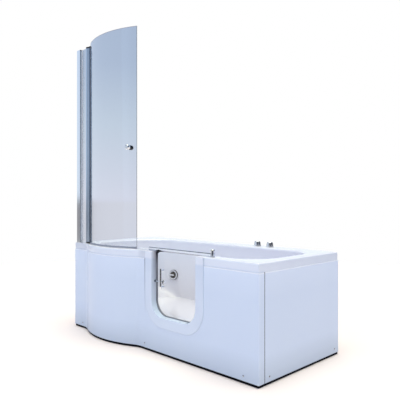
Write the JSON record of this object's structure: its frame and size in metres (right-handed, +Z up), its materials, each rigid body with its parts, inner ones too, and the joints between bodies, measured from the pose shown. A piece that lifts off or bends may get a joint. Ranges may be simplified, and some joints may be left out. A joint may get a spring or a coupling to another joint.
{
  "type": "walk-in bathtub",
  "caption": "Walk-in shower bath with a bowed front, an inward glass door with latch, a curved swinging glass screen, deck taps and a turning waste control.",
  "frame": {"origin": "on the floor, under the middle of the overall box", "axes": "+X along the bath from the screen end to the plain end, +Y from the door to the back wall, +Z up"},
  "size_m": [1.6726, 0.8248, 1.998],
  "materials": {
    "acrylic": "glossy white",
    "panel_acrylic": "glossy white",
    "plinth": "matt black",
    "frame_steel": "satin grey",
    "fixings": "bright zinc",
    "board": "raw chipboard",
    "foot_rubber": "matt black",
    "seal_rubber": "satin grey",
    "glass": "clear polished",
    "chrome": "polished",
    "profile": "bright anodised",
    "cap_plastic": "satin black",
    "valve_brass": "machined",
    "pipe": "drawn copper tube",
    "waste_plastic": "satin white",
    "control_tube": "satin black"
  },
  "bodies": {
    "tub": {"tub_shell": "acrylic", "front_panel": "panel_acrylic", "end_panel": "panel_acrylic", "plinth_front": "plinth", "plinth_end": "plinth", "panel_rail_front": "frame_steel", "panel_rail_end": "frame_steel", "panel_screws": "fixings", "base_board": "board", "long_rails": "frame_steel", "cross_rails": "frame_steel", "rim_posts": "frame_steel", "foot_pads": "foot_rubber", "foot_studs": "fixings", "lock_nuts": "fixings", "door_seal": "seal_rubber", "door_hinge_brackets": "chrome", "latch_keeper": "chrome", "wall_profile": "profile", "adjusting_profile": "profile", "infill_glass": "glass", "hinge_post": "profile", "joint_strip": "plinth", "pivot_cap_bottom": "cap_plastic", "pivot_cap_top": "cap_plastic", "hot_valve": "valve_brass", "cold_valve": "valve_brass", "valve_nuts": "valve_brass", "link_pipe": "pipe", "filler_pipe": "pipe", "rosette": "chrome", "overflow_body": "waste_plastic", "overflow_pipe": "waste_plastic", "control_tube": "control_tube", "waste_flange": "chrome", "waste_body": "waste_plastic", "outlet_pipe": "waste_plastic"},
    "screen": {"hinge_tube": "profile", "hinge_bushes": "cap_plastic", "glass_gasket": "seal_rubber", "screen_glass": "glass", "screen_seal": "seal_rubber", "screen_knob_outer": "chrome", "screen_knob_inner": "chrome", "knob_stud": "fixings"},
    "door": {"door_glass": "glass", "door_rail": "chrome", "door_pivot_cap": "chrome", "door_pivot_rod": "fixings", "door_hinge_clamps": "chrome", "latch_plate": "chrome"},
    "bolt": {"latch_bolt": "chrome"},
    "hot_tap": {"hot_handle": "chrome"},
    "cold_tap": {"cold_handle": "chrome"},
    "waste_control": {"waste_knob": "chrome"},
    "plug": {"waste_plug": "chrome"}
  },
  "joints": [
    {"name": "screen_swing", "type": "hinge", "parent": "tub", "child": "screen", "pos_m": [-0.6763, -0.31024, 0.6], "axis": [0, 0, 1], "range_deg": [-90, 90]},
    {"name": "door_swing", "type": "hinge", "parent": "tub", "child": "door", "pos_m": [0.4752, -0.2815, 0.6], "axis": [0, 0, -1], "range_deg": [0, 90]},
    {"name": "bolt_slide", "type": "slide", "parent": "door", "child": "bolt", "axis": [-1, 0, 0], "range_m": [0, 0.014]},
    {"name": "hot_turn", "type": "hinge", "parent": "tub", "child": "hot_tap", "pos_m": [0.2617, 0.3775, 0.6], "axis": [0, 0, 1], "range_deg": [0, 180]},
    {"name": "cold_turn", "type": "hinge", "parent": "tub", "child": "cold_tap", "pos_m": [0.3637, 0.3775, 0.6], "axis": [0, 0, 1], "range_deg": [0, 180]},
    {"name": "waste_turn", "type": "hinge", "parent": "tub", "child": "waste_control", "pos_m": [-0.46959, 0.29576, 0.335], "axis": [0.2406, -0.965, 0.1045], "range_deg": [0, 90]},
    {"name": "plug_lift", "type": "slide", "parent": "tub", "child": "plug", "axis": [0, 0, 1], "range_m": [0, 0.012]}
  ],
  "couplings": [
    {"joint": "plug_lift", "follows": "waste_turn", "m_per_rad": 0.007639}
  ]
}
